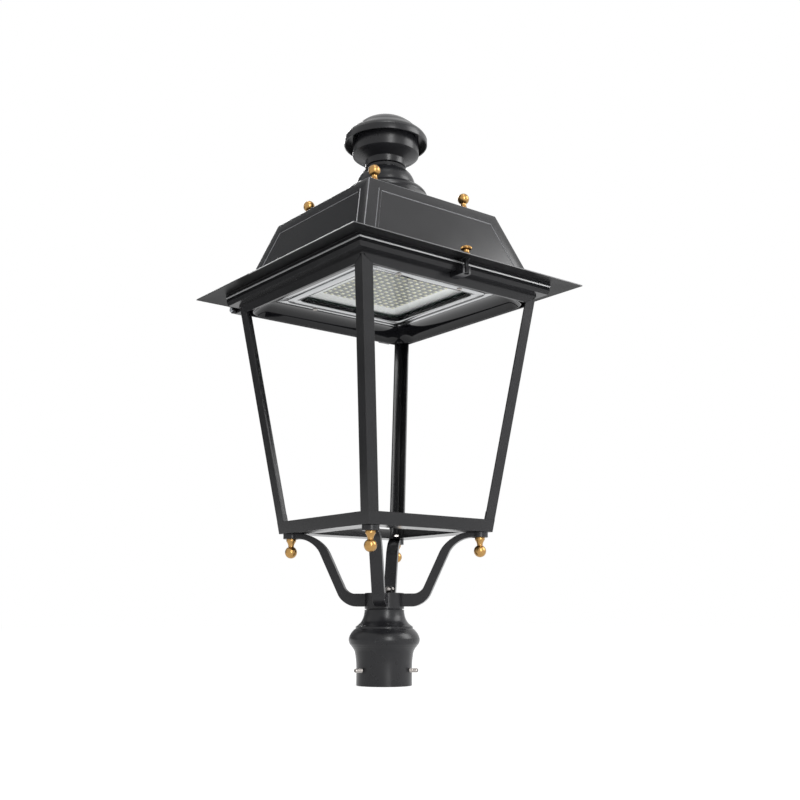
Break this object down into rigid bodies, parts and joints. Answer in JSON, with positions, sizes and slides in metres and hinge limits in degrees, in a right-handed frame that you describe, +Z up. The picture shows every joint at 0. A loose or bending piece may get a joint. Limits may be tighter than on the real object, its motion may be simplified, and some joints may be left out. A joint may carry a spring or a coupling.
{
  "type": "post top lantern",
  "caption": "Four-sided black post top lantern with open tapering cage, curved arms on a post sleeve, lamp tray under a hinged hood, turned chimney and brass balls.",
  "frame": {"origin": "centre of the post sleeve's bottom face, where the post enters", "axes": "+Z up along the post, -Y towards the side with the closing screw, hinges at +Y"},
  "size_m": [0.43, 0.43, 0.8895],
  "materials": {
    "black_paint": "satin black powder coat",
    "gloss_black": "glossy black enamel",
    "brass": "polished",
    "stainless": "turned",
    "zinc_steel": "zinc plated",
    "rubber": "matt",
    "clear_glass": "clear toughened glass",
    "bare_aluminium": "plain extruded",
    "white_paint": "matt white",
    "circuit_board": "lamp board, grey lacquer",
    "phosphor": "pale yellow phosphor",
    "driver_case": "grey enamel",
    "white_plastic": "moulded",
    "red_plastic": "moulded",
    "black_plastic": "moulded"
  },
  "bodies": {
    "frame": {"post_sleeve": "black_paint", "arm_hub": "black_paint", "arm_front_left": "black_paint", "arm_front_right": "black_paint", "arm_back_right": "black_paint", "arm_back_left": "black_paint", "lower_frame": "black_paint", "leg_front_left": "black_paint", "leg_front_right": "black_paint", "leg_back_right": "black_paint", "leg_back_left": "black_paint", "corner_cleats": "black_paint", "upper_frame": "black_paint", "closing_lug": "black_paint", "hinge_brackets": "black_paint", "led_tray": "gloss_black", "lower_finials": "brass", "set_screws": "stainless", "earth_screw": "stainless", "earth_nut": "stainless", "hinge_pins": "stainless", "hinge_bracket_screws": "stainless", "rim_screws": "stainless", "tray_screws": "stainless", "gear_screws": "stainless", "lower_finial_nuts": "stainless", "hub_washer": "zinc_steel", "hub_tube": "zinc_steel", "hub_nut": "zinc_steel", "gear_plate": "zinc_steel", "roof_gasket": "rubber", "glass_gasket": "rubber", "glass_cover": "clear_glass", "tray_pillars": "bare_aluminium", "heat_sink": "bare_aluminium", "gear_standoffs": "bare_aluminium", "spacer_frame": "bare_aluminium", "reflector_plate": "white_paint", "led_board": "circuit_board", "led_chips": "phosphor", "driver": "driver_case", "terminal_block": "white_plastic", "surge_protector": "red_plastic", "cable_gland": "black_plastic", "gland_nut": "black_plastic"},
    "roof": {"roof_skirt": "black_paint", "roof_hood": "black_paint", "hinge_leaves": "black_paint", "chimney_base": "black_paint", "chimney_bowl": "black_paint", "chimney_cap": "black_paint", "chimney_rod": "zinc_steel", "chimney_nut": "zinc_steel", "top_finial_bases": "black_paint", "top_finials": "brass", "top_finial_nuts": "stainless"},
    "closing_screw": {"closing_screw": "brass"}
  },
  "joints": [
    {"name": "roof_hinge", "type": "hinge", "parent": "frame", "child": "roof", "pos_m": [0, 0.198, 0.582], "axis": [-1, 0, 0], "range_deg": [0, 95]},
    {"name": "closing_screw_turn", "type": "hinge", "parent": "roof", "child": "closing_screw", "pos_m": [0, -0.19, 0.6], "axis": [0, 0, 1], "continuous": true}
  ]
}
